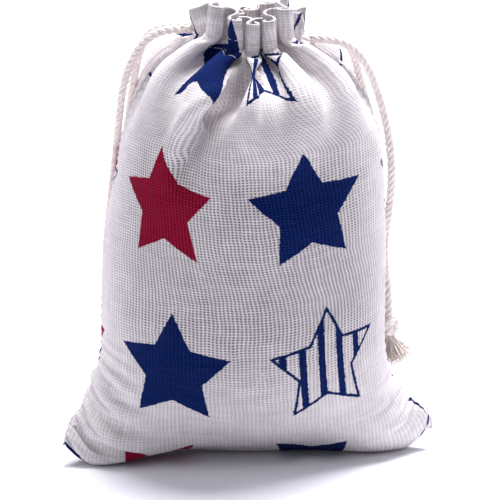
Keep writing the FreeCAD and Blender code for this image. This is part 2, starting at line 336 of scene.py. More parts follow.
def settle(cloth, steps):
    """Lets the cloth find its folds. It keeps its woven lengths, resists bending and hangs on the filling."""
    pinned = (V > PINNED[0]) & (V < PINNED[1])
    inverse_mass = np.ones((2, ROWS, COLUMNS, 1))
    inverse_mass[:, pinned] = 0.0
    corner = V < CORNER_SEAM
    corners = cloth[:, corner][:, :, [0, -1]].copy()
    hold = (CORNER_HOLD * (1 - V[corner] / CORNER_SEAM))[None, :, None]
    held = cloth[:, pinned].copy()
    before = cloth.copy()
    swell = BELLY_SWELL * eased((0.128 - V) / 0.01)[:, None]
    swell = swell + SHOULDER_SWELL * bell(V, 0.118, 0.008)[:, None] * eased((TO_SEAM - 0.008) / 0.016)
    swell = swell[None, :, :, None]
    diagonal = math.hypot(STEP_U, STEP_V)
    stiffening = 0.25 * eased((0.124 - V) / 0.010)[:, None, None]
    up = STEP_V * (1 - SEAM_DRAW * bell(TO_SEAM, 0.0, 0.007))[:, None]
    across = STEP_U * (1 - BASE_DRAW * (1 - eased(V / 0.018)))[:, None, None]
    curl = MOUTH_CURL * bell(TO_SEAM, 0.0, 0.012) * eased((V - PINNED[1]) / 0.002)[:, None]
    for step in range(steps):
        speed = (cloth - before) * KEPT_SPEED
        before = cloth.copy()
        cloth = cloth + speed
        cloth[..., 2] -= FALL
        if step % 4 == 0:
            push = grid_normals(cloth) * swell
        cloth += push
        for _ in range(2):
            hold_length(cloth, 0, 1, across, 1.0, inverse_mass)
            hold_length(cloth, 1, 0, up, 1.0, inverse_mass)
        hold_length(cloth, 1, 1, diagonal, SHEAR_STIFFNESS, inverse_mass)
        hold_length(cloth, -1, 1, diagonal, SHEAR_STIFFNESS, inverse_mass)
        for reach, stiffness in BENDING:
            hold_length(cloth, 0, reach, reach * across, stiffness, inverse_mass)
            hold_length(cloth, reach, 0, reach * up, stiffness, inverse_mass)
        hold_length(cloth, 0, 7, 7 * across, stiffening, inverse_mass)
        cloth[..., 0] *= 1 - curl
        rest_on_filling(cloth, 0.5)
        keep_sides_apart(cloth)
        cloth[:, pinned] = held
        for end in (0, -1):
            cloth[:, corner, end] += hold * (corners[:, :, end] - cloth[:, corner, end])
        sew(cloth)
    return cloth


def lift_base(cloth):
    """Under the belly the cloth curls up off the floor. Both corners turn up and come forward."""
    x, y, z = (cloth[..., i].copy() for i in range(3))
    low = 1 - eased(z / 0.026)
    belly = 0.0034 * bell(x, -0.016, 0.015) + 0.0016 * bell(x, 0.012, 0.018)
    cloth[..., 2] += belly * eased((-y - 0.001) / 0.010) * low
    cloth[..., 2] += 0.0038 * (eased((-x - 0.0415) / 0.008) + eased((x - 0.0405) / 0.009)) * low
    cloth[..., 1] -= (0.0068 * eased((x - 0.016) / 0.024) + 0.0062 * eased((-x - 0.018) / 0.022)) * low
    cloth[..., 0] += 0.0014 * eased((x - 0.034) / 0.010) * low
    return cloth


# ---------------------------------------------------------------- mesh helpers
def placed(name, data):
    thing = bpy.data.objects.new(name, data)
    bpy.context.scene.collection.objects.link(thing)
    return thing


def link(name, mesh, material, body=None):
    """A new piece. Without a body it gets its place from a parent, or stays where it is drawn."""
    piece = placed(name, mesh)
    mesh.materials.append(material)
    if body:
        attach(piece, body)
    return piece


def mesh_from(name, points, faces, uvs=None):
    mesh = bpy.data.meshes.new(name)
    mesh.from_pydata(np.asarray(points).tolist(), [], [tuple(f) for f in faces])
    if uvs is not None:
        layer = mesh.uv_layers.new(name="UVMap")
        corner = np.empty(len(mesh.loops), dtype=np.int32)
        mesh.loops.foreach_get("vertex_index", corner)
        layer.data.foreach_set("uv", np.asarray(uvs, dtype=np.float32)[corner].ravel())
    mesh.shade_smooth()
    return mesh


def finer(grid, times, axis):
    """The grid with more points along an axis, on smooth curves through the old ones."""
    grid = np.moveaxis(grid, axis, 0)
    padded = np.concatenate([2 * grid[:1] - grid[1:2], grid, 2 * grid[-1:] - grid[-2:-1]])
    at = np.arange((len(grid) - 1) * times + 1) / times
    first = np.minimum(at.astype(int), len(grid) - 2)
    f = (at - first).reshape((-1,) + (1,) * (grid.ndim - 1))
    a, b, c, d = (padded[first + i] for i in range(4))
    out = 2 * b + (c - a) * f + (2 * a - 5 * b + 4 * c - d) * f ** 2 + (3 * b - a - 3 * c + d) * f ** 3
    return np.moveaxis(0.5 * out, 0, axis)


def shell(name, outer, inner, uv_outer, uv_inner, arc, flipped):
    """A closed cloth piece from its outer and inner skins, which meet over the top in an arc."""
    middle = (outer[-1] + inner[-1]) / 2
    out = outer[-1] - middle
    along = unit(outer[-1] - outer[-2])
    radius = np.linalg.norm(out, axis=-1, keepdims=True)
    rim, rim_uv = [], []
    for i in range(1, arc):
        turn_by = math.pi * i / arc
        rim.append(middle + out * math.cos(turn_by) + along * radius * math.sin(turn_by))
        rim_uv.append(uv_outer[-1] + (uv_inner[-1] - uv_outer[-1]) * i / arc)
    points = np.array([*outer, *rim, *inner[::-1]])
    uvs = np.array([*uv_outer, *rim_uv, *uv_inner[::-1]])
    total, columns = points.shape[:2]
    index = np.arange(total * columns).reshape(total, columns)
    quads = np.stack([index[:-1, :-1], index[:-1, 1:], index[1:, 1:], index[1:, :-1]], axis=-1).reshape(-1, 4)
    faces = [quads[:, ::-1] if flipped else quads]
    half = total // 2
    for column, turned in ((0, True), (columns - 1, False)):
        line = index[:, column]
        a, b = line[:half], line[::-1][:half]
        quads = np.stack([a[:-1], b[:-1], b[1:], a[1:]], axis=-1)
        quads = quads[(quads[:, 2] != quads[:, 3])]
        faces.append(quads if turned == flipped else quads[:, ::-1])
    quads = np.stack([index[0, :-1], index[-1, :-1], index[-1, 1:], index[0, 1:]], axis=-1)
    faces.append(quads[:, ::-1] if flipped else quads)
    mesh = mesh_from(name, points.reshape(-1, 3), np.concatenate(faces).tolist(), uvs.reshape(-1, 2))
    mesh.set_sharp_from_angle(angle=math.radians(62))
    return mesh


def curve_line(points, spacing):
    """A smooth line through the route's control points, read off a NURBS spline and spaced evenly."""
    curve = bpy.data.curves.new("route", "CURVE")
    curve.dimensions = "3D"
    curve.resolution_u = 24
    spline = curve.splines.new("NURBS")
    spline.points.add(len(points) - 1)
    for point, place in zip(spline.points, points):
        point.co = (*place, 1.0)
    spline.order_u = 3
    spline.use_endpoint_u = True
    holder = placed("route", curve)
    read = bpy.data.meshes.new_from_object(holder.evaluated_get(bpy.context.evaluated_depsgraph_get()))
    line = np.array([v.co for v in read.vertices], dtype=float)
    bpy.data.meshes.remove(read)
    bpy.data.objects.remove(holder)
    bpy.data.curves.remove(curve)
    return even_line(line, spacing)


def read_at(at, places, vectors):
    """The vectors, one at each of the places, read at others."""
    return np.stack([np.interp(at, places, vectors[:, i]) for i in range(3)], axis=1)


def even_line(line, spacing):
    run = run_along(line)
    return read_at(np.linspace(0, run[-1], max(3, int(round(run[-1] / spacing)) + 1)), run, line)


def frames_along(line):
    """Two unit vectors across the line at each point, which turn with it as little as they can."""
    tangent = unit(np.gradient(line, axis=0))
    side = np.cross(tangent[0], (0.0, 0.0, 1.0))
    if np.linalg.norm(side) < 0.2:
        side = np.cross(tangent[0], (0.0, 1.0, 0.0))
    across = np.zeros_like(line)
    for i, t in enumerate(tangent):
        side = side - t * (side @ t)
        side = side / np.linalg.norm(side)
        across[i] = side
    return across, np.cross(tangent, across)


def tube(line, radius, sides, first):
    """Points, faces and uvs of a tube along a line, with closed ends, whose points are numbered from first.
    radius is a number or one for each point."""
    across, up = frames_along(line)
    radius = np.broadcast_to(radius, len(line))
    angle = (np.arange(sides) * 2 * math.pi / sides)[None, :, None]
    ring = across[:, None] * np.cos(angle) + up[:, None] * np.sin(angle)
    points = (line[:, None] + ring * radius[:, None, None]).reshape(-1, 3)
    index = first + np.arange(len(points)).reshape(len(line), sides)
    after = np.roll(index, -1, axis=1)
    faces = np.stack([index[:-1], after[:-1], after[1:], index[1:]], axis=-1).reshape(-1, 4).tolist()
    start = first + len(points)
    faces += [(start, b, a) for a, b in zip(index[0].tolist(), after[0].tolist())]
    faces += [(start + 1, a, b) for a, b in zip(index[-1].tolist(), after[-1].tolist())]
    run = run_along(line)
    uvs = np.stack([np.repeat(run, sides), np.tile(np.arange(sides) / sides, len(line))], axis=1)
    uvs = np.concatenate([uvs, [[run[0], 0.0], [run[-1], 0.0]]])
    return np.concatenate([points, line[:1], line[-1:]]), faces, uvs


class Parts:
    """Collects tubes into one mesh."""

    def __init__(self):
        self.points, self.faces, self.uvs, self.count = [], [], [], 0

    def add(self, line, radius, sides):
        points, faces, uvs = tube(line, radius, sides, self.count)
        self.points.append(points)
        self.faces += faces
        self.uvs.append(uvs)
        self.count += len(points)

    def piece(self, name, material, body, slot, *nodes):
        """One piece of all the tubes, which stands for the CAD nodes."""
        points, uvs = np.concatenate(self.points), np.concatenate(self.uvs)
        piece = link(name, mesh_from(name, points, self.faces, uvs), material, body)
        if nodes:
            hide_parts(*nodes)
        return piece


# ---------------------------------------------------------------- materials
def linear(red, green, blue):
    """A display colour, 0 to 255, as the linear colour that the shaders use."""
    def one(c):
        c /= 255
        return c / 12.92 if c <= 0.04045 else ((c + 0.055) / 1.055) ** 2.4
    return one(red), one(green), one(blue), 1.0


class Graph:
    """A material with short calls for the nodes it is built from."""

    def __init__(self, name):
        self.material = bpy.data.materials.new(name)
        self.material.use_nodes = True
        self.tree = self.material.node_tree
        self.tree.nodes.clear()

    def node(self, kind, **inputs):
        node = self.tree.nodes.new(kind)
        for key, value in inputs.items():
            self.feed(node.inputs[key.replace("_", " ")], value)
        return node

    def feed(self, socket, value):
        if isinstance(value, bpy.types.NodeSocket):
            self.tree.links.new(value, socket)
        else:
            socket.default_value = value

    def math(self, operation, *values):
        node = self.tree.nodes.new("ShaderNodeMath")
        node.operation = operation
        for socket, value in zip(node.inputs, values):
            self.feed(socket, value)
        return node.outputs[0]

    def plus(self, first, second):
        return self.math("ADD", first, second)

    def minus(self, first, second):
        return self.math("SUBTRACT", first, second)

    def times(self, first, second):
        return self.math("MULTIPLY", first, second)

    def scaled(self, value, by, then_plus):
        return self.math("MULTIPLY_ADD", value, by, then_plus)

    def floor(self, value):
        return self.math("FLOOR", value)

    def dimmed(self, colour, by):
        grey = self.node("ShaderNodeCombineColor", Red=by, Green=by, Blue=by)
        return self.mix(1.0, colour, grey.outputs[0], "MULTIPLY")

    def mix(self, factor, first, second, blend="MIX"):
        node = self.tree.nodes.new("ShaderNodeMix")
        node.data_type = "RGBA"
        node.blend_type = blend
        self.feed(node.inputs[0], factor)
        self.feed(node.inputs[6], first)
        self.feed(node.inputs[7], second)
        return node.outputs[2]

    def between(self, value, low, high):
        """0 below low, 1 above high, and smooth between them."""
        node = self.tree.nodes.new("ShaderNodeMapRange")
        node.interpolation_type = "SMOOTHSTEP"
        for socket, item in zip(node.inputs, (value, low, high, 0.0, 1.0)):
            self.feed(socket, item)
        return node.outputs[0]

    def noise(self, vector, scale, detail):
        node = self.node("ShaderNodeTexNoise", Vector=vector, Scale=scale, Detail=detail)
        return node.outputs["Fac"]

    def combine(self, x, y, z=0.0):
        return self.node("ShaderNodeCombineXYZ", X=x, Y=y, Z=z).outputs[0]

    def millimetres(self):
        """The two pattern coordinates of this point of the cloth or yarn, in millimetres."""
        uv = self.node("ShaderNodeUVMap")
        uv.uv_map = "UVMap"
        split = self.node("ShaderNodeSeparateXYZ", Vector=uv.outputs[0])
        return tuple(self.times(split.outputs[i], 1000.0) for i in range(2))

    def finish(self, colour, roughness, height, bump_distance, bump_strength, sheen):
        bump = self.node("ShaderNodeBump", Height=height, Distance=bump_distance, Strength=bump_strength)
        shader = self.node("ShaderNodeBsdfPrincipled", Normal=bump.outputs[0])
        self.feed(shader.inputs["Base Color"], colour)
        self.feed(shader.inputs["Roughness"], roughness)
        shader.inputs["Specular IOR Level"].default_value = 0.02
        shader.inputs["Sheen Weight"].default_value = sheen
        shader.inputs["Sheen Roughness"].default_value = 0.5
        self.node("ShaderNodeOutputMaterial", Surface=shader.outputs[0])
        return self.material


WARP_PITCH = 1.02           # millimetres between threads that run up the sack
WEFT_PITCH = 0.72           # millimetres between threads that run across it
STAR_PITCH = (40.0, 44.5)
STAR_AT = (30.5, 41.0)
STAR_RADIUS = 16.0
STAR_INNER = 0.51
# The stars from the lowest row up and from left to right, round the front and then the back.
STAR_KINDS = (
    ("outline", "red", "navy", "outline", "red", "navy"),
    ("red", "navy", "striped", "outline", "red", "navy"),
    ("outline", "red", "navy", "outline", "striped", "red"),
    ("outline", "navy", "striped", "outline", "red", "navy"),
)
LOWEST_ROW_SHIFT = 4.2
LOWEST_ROW_ACROSS = 4.6
NATURAL = linear(222, 216, 218)
NAVY = linear(0, 27, 84)
CRIMSON = linear(131, 8, 44)


def star_masks(g, u, v):
    """Where the ink is: (navy, crimson). The lowest row of stars is upside down and nearer to the others."""
    lowest = g.between(v, 24.0, 22.0)
    u = g.scaled(lowest, LOWEST_ROW_ACROSS, u)
    v = g.scaled(lowest, -LOWEST_ROW_SHIFT, v)
    place = g.combine(u, v)
    shake = g.scaled(g.noise(place, 1.3, 3.0), 0.9, -0.45)
    shake2 = g.scaled(g.noise(g.combine(v, u, 7.0), 1.3, 3.0), 0.7, -0.35)
    local, cells = [], []
    for value, pitch, at, off in zip((u, v), STAR_PITCH, STAR_AT, (shake, shake2)):
        across = g.math("DIVIDE", g.minus(value, at), pitch)
        cell = g.floor(g.plus(across, 0.5))
        cells.append(cell)
        local.append(g.plus(g.times(g.minus(across, cell), pitch), off))
    x, y = local
    y = g.times(y, g.scaled(g.math("LESS_THAN", cells[1], -0.5), -2.0, 1.0))
    angle = g.math("PINGPONG", g.math("ARCTAN2", x, y), math.pi / 5)
    radius = g.math("SQRT", g.plus(g.times(x, x), g.times(y, y)))
    inner_x = STAR_RADIUS * STAR_INNER * math.sin(math.pi / 5)
    inner_y = STAR_RADIUS * STAR_INNER * math.cos(math.pi / 5)
    side = math.hypot(inner_x, STAR_RADIUS - inner_y)
    normal = ((STAR_RADIUS - inner_y) / side, inner_x / side)
    qx = g.times(g.times(radius, g.math("SINE", angle)), normal[0])
    qy = g.times(g.minus(g.times(radius, g.math("COSINE", angle)), STAR_RADIUS), normal[1])
    distance = g.plus(qx, qy)
    inside = g.between(distance, 0.10, -0.10)
    line = g.between(g.math("ABSOLUTE", g.plus(distance, 0.35)), 0.50, 0.28)
    stripe = g.math("PINGPONG", g.plus(g.scaled(y, 0.05, x), 1.2), 2.6)
    stripe = g.between(stripe, 1.08, 0.88)
    columns = len(STAR_KINDS[0])
    kinds = [kind for row in STAR_KINDS for kind in row]
    kind = g.scaled(g.plus(cells[1], 1.0), columns, g.plus(cells[0], 1.0))
    ramp = g.tree.nodes.new("ShaderNodeValToRGB")
    ramp.color_ramp.interpolation = "CONSTANT"
    codes = {"red": (1, 0, 0, 1), "navy": (0, 1, 0, 1), "striped": (0, 0, 1, 1), "outline": (0, 0, 0, 1)}
    while len(ramp.color_ramp.elements) < len(kinds):
        ramp.color_ramp.elements.new(0.5)
    for i, word in enumerate(kinds):
        ramp.color_ramp.elements[i].position = i / len(kinds)
        ramp.color_ramp.elements[i].color = codes[word]
    g.feed(ramp.inputs[0], g.math("DIVIDE", g.plus(kind, 0.5), len(kinds)))
    split = g.node("ShaderNodeSeparateColor", Color=ramp.outputs[0])
    crimson = g.times(inside, split.outputs[0])
    full = g.plus(split.outputs[1], g.times(split.outputs[2], stripe))
    outlined = g.times(line, g.minus(1.0, g.plus(split.outputs[0], split.outputs[1])))
    navy = g.math("MAXIMUM", g.times(inside, full), outlined)
    return navy, crimson


def woven(name, printed=True):
    """Open plain-weave cotton: two sets of uneven threads, the holes between them painted near black as the
    shade inside, and ink on them.
    """
    g = Graph(name)
    u, v = g.millimetres()
    place = g.combine(u, v)
    sway = g.scaled(g.noise(g.combine(g.times(u, 0.35), v), 0.22, 2.0), 0.9, -0.45)
    sway2 = g.scaled(g.noise(g.combine(u, g.times(v, 0.35), 5.0), 0.22, 2.0), 0.9, -0.45)
    across = g.math("DIVIDE", g.plus(u, sway), WARP_PITCH)
    along = g.math("DIVIDE", g.plus(v, sway2), WEFT_PITCH)
    warp = g.math("PINGPONG", across, 0.5)
    weft = g.math("PINGPONG", along, 0.5)
    warp_tone = g.noise(g.combine(g.floor(g.plus(across, 0.5)), g.times(v, 0.07)), 1.7, 2.0)
    weft_tone = g.noise(g.combine(g.times(u, 0.07), g.floor(g.plus(along, 0.5)), 3.0), 1.7, 2.0)
    patch = g.noise(place, 0.16, 3.0)
    grain = g.noise(place, 3.1, 3.0)
    warp_gap = g.between(warp, g.scaled(warp_tone, 0.30, -0.01), 0.34)
    weft_gap = g.between(weft, g.scaled(weft_tone, 0.34, -0.03), 0.34)
    cell = g.combine(g.floor(across), g.floor(along))
    single = g.node("ShaderNodeTexWhiteNoise", Vector=cell).outputs["Value"]
    closed = g.plus(g.times(single, 0.45), g.times(patch, 0.9))
    closed = g.between(closed, 0.14, 0.50)
    # The weave is drawn open over the middle of a panel, and lies closer along its seams and its base. This
    # mask also paints shade over the middle of a panel and light along its seams and base.
    open_weave_and_painted_shade = g.between(g.math("PINGPONG", u, FLAT_WIDTH * 500), 2.0, 26.0)
    open_weave_and_painted_shade = g.times(open_weave_and_painted_shade, g.times(g.between(v, 22.0, 56.0), g.between(v, 122.0, 88.0)))
    open_weave_and_painted_shade = g.scaled(open_weave_and_painted_shade, 0.68, 0.32)
    hole_shade_mask = g.times(g.times(warp_gap, weft_gap), g.times(closed, open_weave_and_painted_shade))
    parity = g.math("PINGPONG", g.plus(g.floor(across), g.floor(along)), 1.0)
    warp_height = g.times(g.minus(1.0, warp_gap), g.scaled(parity, 0.30, 0.55))
    weft_height = g.times(g.minus(1.0, weft_gap), g.scaled(parity, -0.30, 0.85))
    height = g.math("MAXIMUM", warp_height, weft_height)
    height = g.plus(height, g.times(grain, 0.25))
    tone = g.plus(g.times(warp_tone, 0.22), g.times(weft_tone, 0.26))
    tone = g.plus(tone, g.times(patch, 0.14))
    tone = g.plus(tone, g.times(grain, 0.16))
    bright = g.plus(tone, 0.62)
    # Painted shade and light: the middle of each panel is dimmed, and its seams and base are brightened.
    bright = g.times(bright, g.scaled(open_weave_and_painted_shade, -0.32, 1.07))
    # Painted shade: the folded edge of the mouth is painted a little darker, where the light from above falls
    # brightest on it.
    bright = g.times(bright, g.scaled(g.between(v, 142.0, 144.0), -0.22, 1.0))
    colour = g.dimmed(NATURAL, bright)
    if printed:
        navy, crimson = star_masks(g, u, v)
        worn = g.scaled(g.between(g.plus(grain, g.times(weft_tone, 0.3)), 0.46, 0.90), -0.02, 1.0)
        colour = g.mix(g.times(navy, worn), colour, NAVY)
        colour = g.mix(g.times(crimson, worn), colour, CRIMSON)
    # Painted shade: the holes are painted near black, for the dark inside of the sack seen through the cloth.
    deep = g.mix(1.0, colour, (0.07, 0.065, 0.07, 1.0), "MULTIPLY")
    colour = g.mix(g.times(hole_shade_mask, 0.96), colour, deep)
    return g.finish(colour, g.scaled(grain, 0.1, 0.82), height, 0.00022, 0.50, 0.01)


def spun(name, base, twist_turns=7.0):
    """Spun cotton yarn: fine fibres that wind round it, uneven in tone."""
    g = Graph(name)
    u, v = g.millimetres()
    turn_at = g.plus(g.math("DIVIDE", v, 1000.0), g.times(u, 0.55))
    fibre = g.noise(g.combine(g.times(turn_at, twist_turns), g.times(u, 0.35)), 2.6, 4.0)
    patch = g.noise(g.combine(u, 0.0, 4.0), 0.8, 2.0)
    bright = g.plus(g.plus(g.times(fibre, 0.62), g.times(patch, 0.2)), 0.56)
    return g.finish(g.dimmed(base, bright), 0.9, fibre, 0.00025, 0.7, 0.20)


# ---------------------------------------------------------------- camera
SHOWN_WIDTH = 0.13333       # how much of the world the picture spans at the sack
CAMERA_ELEVATION = math.radians(15.0)
CAMERA_DISTANCE = 3.0
CAMERA_TARGET = Vector((0.0008, 0.0, 0.0551))

camera_data = bpy.data.cameras.new("camera")
camera_data.sensor_width = 36.0
camera_data.lens = camera_data.sensor_width * CAMERA_DISTANCE / SHOWN_WIDTH
camera_data.clip_start = 0.05
camera_data.clip_end = 60.0
camera = placed("camera", camera_data)
back_from = Vector((0.0, -math.cos(CAMERA_ELEVATION), math.sin(CAMERA_ELEVATION)))
camera.location = CAMERA_TARGET + back_from * CAMERA_DISTANCE
camera.rotation_euler = (-back_from).to_track_quat("-Z", "Y").to_euler()
bpy.context.scene.camera = camera

# The middle lines of the free cords, from the opening to the knot.
LEFT_FRONT = [(-0.017, -0.0015, 0.1161), (-0.0216, -0.0015, 0.1161), (-0.0266, -0.0008, 0.1134),
              (-0.0302, 0.0009, 0.108), (-0.0326, 0.003, 0.1014), (-0.0339, 0.0056, 0.093),
              (-0.0346, 0.0092, 0.0836), (-0.0356, 0.0112, 0.0736), (-0.0368, 0.0128, 0.0636),
              (-0.0374, 0.0144, 0.0544), (-0.03725, 0.0158, 0.047), (-0.03725, 0.0158, 0.041)]
LEFT_REAR = [(-0.017, 0.0015, 0.1161), (-0.022, 0.0015, 0.1161), (-0.0264, 0.0036, 0.1139),
             (-0.0286, 0.0074, 0.1082), (-0.0299, 0.0108, 0.1006), (-0.0312, 0.0134, 0.092),
             (-0.0324, 0.015, 0.0824), (-0.0334, 0.016, 0.072), (-0.034, 0.0166, 0.062),
             (-0.0345, 0.0166, 0.054), (-0.03475, 0.0158, 0.047), (-0.03475, 0.0158, 0.041)]
RIGHT_FRONT = [(0.017, -0.0015, 0.1135), (0.0224, -0.0015, 0.1135), (0.0278, -0.0006, 0.1113),
               (0.0318, 0.001, 0.106), (0.0344, 0.0028, 0.0988), (0.0368, 0.0044, 0.0904),
               (0.0383, 0.0058, 0.0816), (0.0386, 0.0074, 0.0718), (0.0378, 0.0096, 0.062),
               (0.0364, 0.0118, 0.0522), (0.0379, 0.00935, 0.041), (0.0379, 0.00935, 0.0344)]
RIGHT_REAR = [(0.017, 0.0015, 0.1135), (0.0224, 0.0015, 0.1135), (0.0268, 0.0044, 0.1111),
              (0.0288, 0.0098, 0.1049), (0.0306, 0.0128, 0.0974), (0.0328, 0.015, 0.0894),
              (0.0339, 0.0162, 0.0806), (0.0344, 0.0168, 0.0712), (0.0343, 0.017, 0.0616),
              (0.0348, 0.0158, 0.0516), (0.0379, 0.01185, 0.041), (0.0379, 0.01185, 0.0344)]

# ---------------------------------------------------------------- the sack's cloth
cloth_material = woven("printed_cloth")
inside_material = woven("plain_cloth", printed=False)
cord_material = spun("drawcord", linear(238, 228, 223))
thread_material = spun("sewing_thread", linear(214, 206, 203), 18.0)
fray_material = spun("frayed_cotton", linear(236, 224, 216), 12.0)

settled = lift_base(settle(starting_cloth(), SETTLE_STEPS))

FINER = 2
SKIN = CLOTH_THICKNESS / 2
fine = finer(finer(settled, FINER, 1), FINER, 2)
fine_rows, fine_columns = fine.shape[1:3]
fine_v = np.linspace(0.0, FLAT_HEIGHT, fine_rows)
fine_u = np.linspace(0.0, FLAT_WIDTH, fine_columns)
casing_row = int(round(CASING_AT / FLAT_HEIGHT * (fine_rows - 1)))
header_row = int(round(HEADER_AT / FLAT_HEIGHT * (fine_rows - 1)))

fine_to_seam = np.minimum(fine_u, FLAT_WIDTH - fine_u)
BUNCH_RADIUS = 0.0046       # how near to the neck's middle the channel's inner ply is drawn


def share_seam_normals(normals):
    """Gives both panels the same normals along the side seams and the bottom seam."""
    for column in (0, fine_columns - 1):
        normals[:, :casing_row, column] = unit(normals[:, :casing_row, column].sum(axis=0))
    normals[:, 0] = unit(normals[:, 0].sum(axis=0))


def seam_grooves():
    """How far the seams draw the cloth in, unevenly from stitch to stitch."""
    below_casing = eased((CASING_AT - fine_v) / 0.004)[:, None]
    pucker = 0.00016 * np.sin(fine_v / 0.0027 * 2 * math.pi + 0.7 * np.sin(fine_v * 310))[:, None]
    groove = 0.0005 * bell(fine_to_seam, 0.0, 0.0011) * below_casing
    groove = groove + pucker * bell(fine_to_seam, 0.002, 0.0025) * below_casing
    return groove + 0.0004 * bell(fine_v, 0.0, 0.0012)[:, None]


def neck_folds():
    """How far into the front its folds go. Below the neck one long fold runs down to the left, with a shorter
    one beside it, over a soft bulge."""
    fold_at = 0.0452 - 0.0135 * eased((0.126 - fine_v) / 0.034)
    off = fine_u - fold_at[:, None]
    fold = np.where(off < 0, bell(off, 0.0, 0.0015), bell(off, 0.0, 0.0056))
    fold = fold - 0.30 * bell(off, -0.0042, 0.0028)
    fold = 0.0070 * fold * (eased((fine_v - 0.084) / 0.026) * eased((0.1285 - fine_v) / 0.007))[:, None]
    ends = (eased((fine_v - 0.100) / 0.014) * eased((0.1285 - fine_v) / 0.006))[:, None]
    fold = fold + 0.0022 * bell(fine_u, 0.0545, 0.0018) * ends
    dome = 0.0017 * bell(fine_v, 0.111, 0.008) - 0.0019 * bell(fine_v, 0.093, 0.008)
    return fold - bell(fine_u, 0.062, 0.020) * dome[:, None]


def bunched_ply(ply):
    """The channel's inner ply, which bunches up round the cords."""
    channel = np.clip((fine_v - CASING_AT) / (HEADER_AT - CASING_AT), 0, 1)
    share = (np.sin(math.pi * channel) ** 0.7)[None, :, None, None]
    flat = ply[..., :2]
    reach = np.linalg.norm(flat / np.array([1.1, 1.0]), axis=-1, keepdims=True)
    bunched = ply.copy()
    bunched[..., :2] = flat + (flat * np.minimum(1.0, BUNCH_RADIUS / (reach + 1e-9)) - flat) * share
    return bunched


def print_place(across, up):
    """Where a point of the cloth lies in the print, which the gathers have drawn askew."""
    lean = across - FLAT_WIDTH / 2
    body = eased((up - 0.055) / 0.020)
    shoulder = eased((up - 0.055) / 0.045)
    neck = eased((up - 0.098) / 0.015)
    lift = 0.0016 * body - 0.0004 - 0.066 * lean * (1 - 0.55 * body) + 0.0029 * neck
    right = 0.0055 * shoulder * np.clip(1 - ((across - 0.047) / 0.042) ** 2, -0.3, 1)
    right = right - (0.035 * lean + 0.0021) * (1 - body)
    right = right + neck * (0.018 * eased((across - 0.030) / 0.030) - 0.0081)
    return np.stack([across + right, up + lift], axis=-1)


normals = grid_normals(fine)
share_seam_normals(normals)
fine = fine - normals * seam_grooves()[None, :, :, None]
fine[0] -= normals[0] * neck_folds()[:, :, None]
normals[0] = unit(grid_normals(fine)[0] * 0.7 + normals[0] * 0.3)
normals[1, :casing_row, [0, -1]] = normals[0, :casing_row, [0, -1]]
normals[1, 0] = normals[0, 0]

outer = fine + normals * SKIN
inner = fine - normals * SKIN
hem_inner = fine - normals * (HEM_THICKNESS - SKIN)
bunched = bunched_ply(hem_inner)

PANELS = ("front", "back")
cloth_pieces = {}
for panel, side in enumerate(PANELS):
    uv = print_place(*np.meshgrid(fine_u if panel == 0 else FLAT_WIDTH - fine_u, fine_v))
    uv[..., 0] += panel * FLAT_WIDTH
    uv_in = uv.copy()
    uv_in[..., 1] = 2 * uv[-1:, :, 1] + HEM_THICKNESS - uv[..., 1]
    spans = (
        ("panel", slice(0, casing_row + 1), inner, uv, 1),
        ("casing", slice(casing_row, header_row + 1), bunched, uv_in, 1),
        ("header", slice(header_row, fine_rows), hem_inner, uv_in, 7),
    )
    for part, rows, inside, uv_inside, arc in spans:
        name = f"{side}_{part}_cloth"
        skins = outer[panel, rows], inside[panel, rows]
        mesh = shell(name, *skins, uv[rows], uv_inside[rows], arc, panel == 1)
        cloth_pieces[side, part] = link(name, mesh, cloth_material, None if part == "header" else "root")
        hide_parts(f"{side}_{part}")
    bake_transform(cloth_pieces[side, "header"])

# Running stitches along both edges of the channel.
STITCH_LENGTH = 0.0024
STITCH_GAP = 0.0009
STITCH_RADIUS = 0.00010
for panel, side in enumerate(PANELS):
    parts = Parts()
    for row_at in (CASING_AT + 0.0004, HEADER_AT - 0.0004):
        row = row_at / FLAT_HEIGHT * (fine_rows - 1)
        low = int(row)
        surface = outer[panel, low] + (outer[panel, low + 1] - outer[panel, low]) * (row - low)
        start = 0.0012
        while start + STITCH_LENGTH < FLAT_WIDTH:
            length = STITCH_LENGTH * (0.9 + 0.2 * rng.random())
            at = np.linspace(start, min(start + length, FLAT_WIDTH), 9)
            lift = STITCH_RADIUS * (1.6 * np.sin(np.linspace(0, math.pi, 9)) ** 0.6 - 0.7)
            line = read_at(at, fine_u, surface) + read_at(at, fine_u, normals[panel, low]) * lift[:, None]
            parts.add(line, STITCH_RADIUS, 6)
            start += length + STITCH_GAP
    name = f"{side}_running_stitches"
    parts.piece(name, thread_material, "root", "sewing_thread", f"{side}_casing_stitching")

# The seam allowances inside, bound with a zigzag of thread along their edges.
ALLOWANCE = 0.0048


def allowance(name, edge, inward, node):
    """Two plies that stand in from a seam line, and the overcast thread round their edge."""
    ways = np.linspace(0.0004, ALLOWANCE, 7)
    grid = edge[:, None] + inward[:, None] * ways[None, :, None]
    across = unit(np.cross(np.gradient(edge, axis=0), inward))
    outer_skin = grid + across[:, None] * SKIN * 1.8
    inner_skin = grid - across[:, None] * SKIN * 1.8
    uv = np.stack(np.meshgrid(ways, run_along(edge)), axis=-1)
    mesh = shell(name, outer_skin, inner_skin, uv, uv, 1, False)
    piece = link(name, mesh, inside_material, "root")
    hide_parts(node)
    line = even_line(edge + inward * ALLOWANCE, 0.0006)
    at, places = np.linspace(0, 1, len(line)), np.linspace(0, 1, len(edge))
    into, over = read_at(at, places, inward), read_at(at, places, across)
    phase = np.arange(len(line)) * math.pi / 2
    wave = line + into * (-0.0011 + 0.0013 * np.sin(phase))[:, None]
    wave = wave + over * (0.0006 * np.cos(phase))[:, None]
    parts = Parts()
    parts.add(wave, 0.00016, 5)
    parts.piece(f"{name}_overcasting", thread_material, None, "sewing_thread").parent = piece


